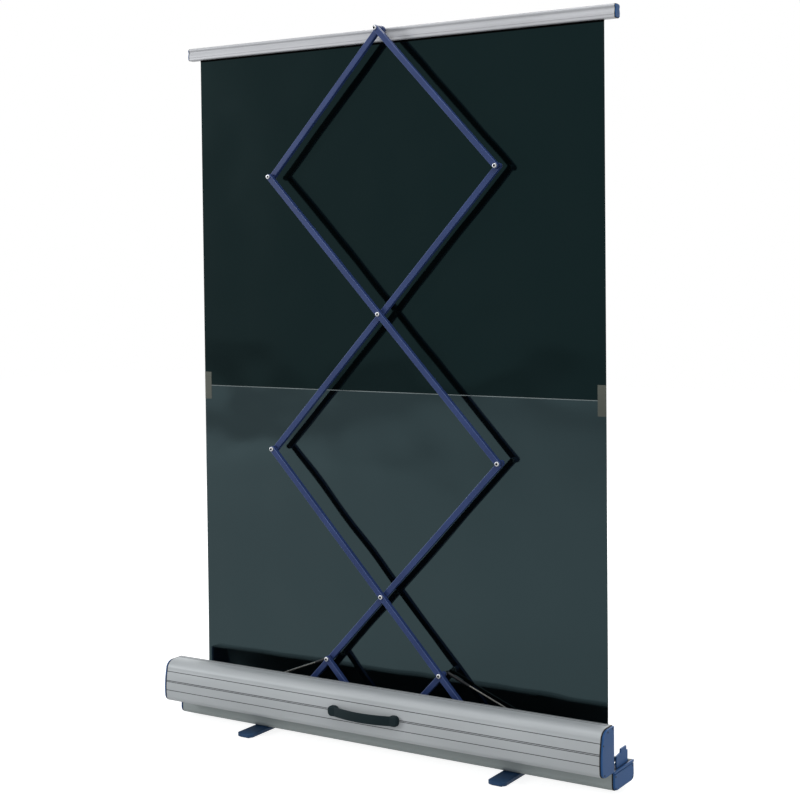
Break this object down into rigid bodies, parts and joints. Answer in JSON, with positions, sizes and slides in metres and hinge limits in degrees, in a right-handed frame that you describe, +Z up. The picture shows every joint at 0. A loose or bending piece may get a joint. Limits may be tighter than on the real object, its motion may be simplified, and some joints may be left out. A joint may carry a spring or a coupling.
{
  "type": "portable projection screen",
  "caption": "Free-standing pull-up projection screen: a folding scissor frame lifts a top bar and sheet out of a floor case with a hinged lid and swivel feet.",
  "frame": {"origin": "on the floor, below the middle of the object's box", "axes": "+Z up, -Y towards the audience (projection side), +X to the right seen from the audience"},
  "size_m": [1.4, 0.2995, 1.9832],
  "materials": {
    "aluminium_case": "satin anodised extrusion",
    "aluminium_bar": "satin anodised extrusion",
    "blue_plastic": "moulded, fine grain",
    "blue_paint": "powder coat",
    "navy_paint": "powder coat",
    "zinc_steel": "zinc plated",
    "strut_black": "satin black paint",
    "strut_chrome": "polished",
    "track_aluminium": "mill finish",
    "black_plastic": "moulded",
    "handle_rubber": "soft moulded",
    "pad_rubber": "ribbed",
    "screen_fabric": "matt white front, black back",
    "drop_fabric": "coated black cloth",
    "tape_fabric": "adhesive cloth tape"
  },
  "bodies": {
    "base": {"base_shell": "aluminium_case", "base_end_cap_left": "blue_plastic", "base_end_cap_right": "blue_plastic", "base_bracket": "blue_paint", "slide_track_left": "track_aluminium", "slide_track_right": "track_aluminium", "strut_anchors": "zinc_steel", "roller_bracket_left": "zinc_steel", "roller_bracket_right": "zinc_steel", "drop_sheet": "drop_fabric", "screen_sheet": "screen_fabric", "seam_tapes": "tape_fabric"},
    "lid": {"lid_shell": "aluminium_case", "lid_end_cap_left": "blue_plastic", "lid_end_cap_right": "blue_plastic", "latch_clips": "black_plastic", "handle_strap": "handle_rubber", "handle_caps": "black_plastic"},
    "foot_left": {"foot_left": "navy_paint", "foot_pads_left": "pad_rubber"},
    "foot_right": {"foot_right": "navy_paint", "foot_pads_right": "pad_rubber"},
    "roller": {"roller_tube": "track_aluminium", "wound_sheet": "drop_fabric"},
    "brace_rear": {"brace_rear": "blue_paint"},
    "brace_front": {"brace_front": "blue_paint"},
    "lower_arm_front": {"lower_arm_front": "blue_paint"},
    "lower_arm_rear": {"lower_arm_rear": "blue_paint"},
    "upper_arm_front": {"upper_arm_front": "blue_paint"},
    "upper_arm_rear": {"upper_arm_rear": "blue_paint"},
    "top_arm_front": {"top_arm_front": "blue_paint"},
    "top_arm_rear": {"top_arm_rear": "blue_paint"},
    "top_bar": {"top_bar": "aluminium_bar", "bar_end_cap_left": "blue_plastic", "bar_end_cap_right": "blue_plastic", "sheet_spline": "black_plastic", "apex_bracket": "blue_paint"},
    "shoe_left": {"slider_shoe_left": "black_plastic"},
    "shoe_right": {"slider_shoe_right": "black_plastic"},
    "strut_cylinder_left": {"strut_cylinder_left": "strut_black"},
    "strut_cylinder_right": {"strut_cylinder_right": "strut_black"},
    "strut_rod_left": {"strut_rod_left": "strut_chrome"},
    "strut_rod_right": {"strut_rod_right": "strut_chrome"}
  },
  "joints": [
    {"name": "lid_hinge", "type": "hinge", "parent": "base", "child": "lid", "pos_m": [0, 0.049, 0.063], "axis": [1, 0, 0], "range_deg": [0, 5]},
    {"name": "foot_swivel_left", "type": "hinge", "parent": "base", "child": "foot_left", "pos_m": [-0.405, -0.01, 0], "axis": [0, 0, 1], "range_deg": [0, 90]},
    {"name": "foot_swivel_right", "type": "hinge", "parent": "base", "child": "foot_right", "pos_m": [0.405, -0.01, 0], "axis": [0, 0, 1], "range_deg": [-90, 0]},
    {"name": "roller_spin", "type": "hinge", "parent": "base", "child": "roller", "pos_m": [0, -0.043, 0.041], "axis": [1, 0, 0], "continuous": true},
    {"name": "fold", "type": "hinge", "parent": "base", "child": "brace_rear", "pos_m": [0, 0.01825, 0.0383], "axis": [0, 1, 0], "range_deg": [0, 44.85], "deforming": ["drop_sheet", "screen_sheet", "seam_tapes"]},
    {"name": "brace_front_turn", "type": "hinge", "parent": "base", "child": "brace_front", "pos_m": [0, 0.01825, 0.0383], "axis": [0, 1, 0], "range_deg": [-44.85, 0]},
    {"name": "lower_front_turn", "type": "hinge", "parent": "brace_rear", "child": "lower_arm_front", "pos_m": [0.18243, 0.01825, 0.23189], "axis": [0, 1, 0], "range_deg": [-89.7, 0]},
    {"name": "lower_rear_turn", "type": "hinge", "parent": "brace_front", "child": "lower_arm_rear", "pos_m": [-0.18243, 0.01825, 0.23189], "axis": [0, 1, 0], "range_deg": [0, 89.7]},
    {"name": "shoe_right_turn", "type": "hinge", "parent": "lower_arm_front", "child": "shoe_right", "pos_m": [0.36485, 0.01825, 0.0383], "axis": [0, 1, 0], "range_deg": [0, 44.85]},
    {"name": "shoe_left_turn", "type": "hinge", "parent": "lower_arm_rear", "child": "shoe_left", "pos_m": [-0.36485, 0.01825, 0.0383], "axis": [0, 1, 0], "range_deg": [-44.85, 0]},
    {"name": "upper_rear_turn", "type": "hinge", "parent": "lower_arm_front", "child": "upper_arm_rear", "pos_m": [-0.36485, 0.01825, 0.81265], "axis": [0, 1, 0], "range_deg": [0, 89.7]},
    {"name": "upper_front_turn", "type": "hinge", "parent": "lower_arm_rear", "child": "upper_arm_front", "pos_m": [0.36485, 0.01825, 0.81265], "axis": [0, 1, 0], "range_deg": [-89.7, 0]},
    {"name": "top_rear_turn", "type": "hinge", "parent": "upper_arm_front", "child": "top_arm_rear", "pos_m": [-0.36485, 0.01825, 1.587], "axis": [0, 1, 0], "range_deg": [0, 89.7]},
    {"name": "top_front_turn", "type": "hinge", "parent": "upper_arm_rear", "child": "top_arm_front", "pos_m": [0.36485, 0.01825, 1.587], "axis": [0, 1, 0], "range_deg": [-89.7, 0]},
    {"name": "top_bar_turn", "type": "hinge", "parent": "top_arm_front", "child": "top_bar", "pos_m": [0, 0.01825, 1.97418], "axis": [0, 1, 0], "range_deg": [0, 44.85]},
    {"name": "strut_swing_left", "type": "hinge", "parent": "base", "child": "strut_cylinder_left", "pos_m": [-0.655, -0.01162, 0.044], "axis": [0, 1, 0], "range_deg": [0, 21.27]},
    {"name": "strut_slide_left", "type": "slide", "parent": "strut_cylinder_left", "child": "strut_rod_left", "axis": [0.9292, 0, 0.3695], "range_m": [-0.1195, 0]},
    {"name": "strut_swing_right", "type": "hinge", "parent": "base", "child": "strut_cylinder_right", "pos_m": [0.655, -0.01162, 0.044], "axis": [0, 1, 0], "range_deg": [-21.27, 0]},
    {"name": "strut_slide_right", "type": "slide", "parent": "strut_cylinder_right", "child": "strut_rod_right", "axis": [-0.9292, 0, 0.3695], "range_m": [-0.1195, 0]}
  ],
  "couplings": [
    {"joint": "brace_front_turn", "follows": "fold", "ratio": -1},
    {"joint": "lower_front_turn", "follows": "fold", "ratio": -2},
    {"joint": "lower_rear_turn", "follows": "fold", "ratio": 2},
    {"joint": "shoe_right_turn", "follows": "fold", "ratio": 1},
    {"joint": "shoe_left_turn", "follows": "fold", "ratio": -1},
    {"joint": "upper_rear_turn", "follows": "fold", "ratio": 2},
    {"joint": "upper_front_turn", "follows": "fold", "ratio": -2},
    {"joint": "top_rear_turn", "follows": "fold", "ratio": 2},
    {"joint": "top_front_turn", "follows": "fold", "ratio": -2},
    {"joint": "top_bar_turn", "follows": "fold", "ratio": 1},
    {"joint": "strut_swing_left", "follows": "fold", "ratio": 0.47396},
    {"joint": "strut_slide_left", "follows": "fold", "m_per_rad": -0.15254},
    {"joint": "strut_swing_right", "follows": "fold", "ratio": -0.47396},
    {"joint": "strut_slide_right", "follows": "fold", "m_per_rad": -0.15254}
  ]
}
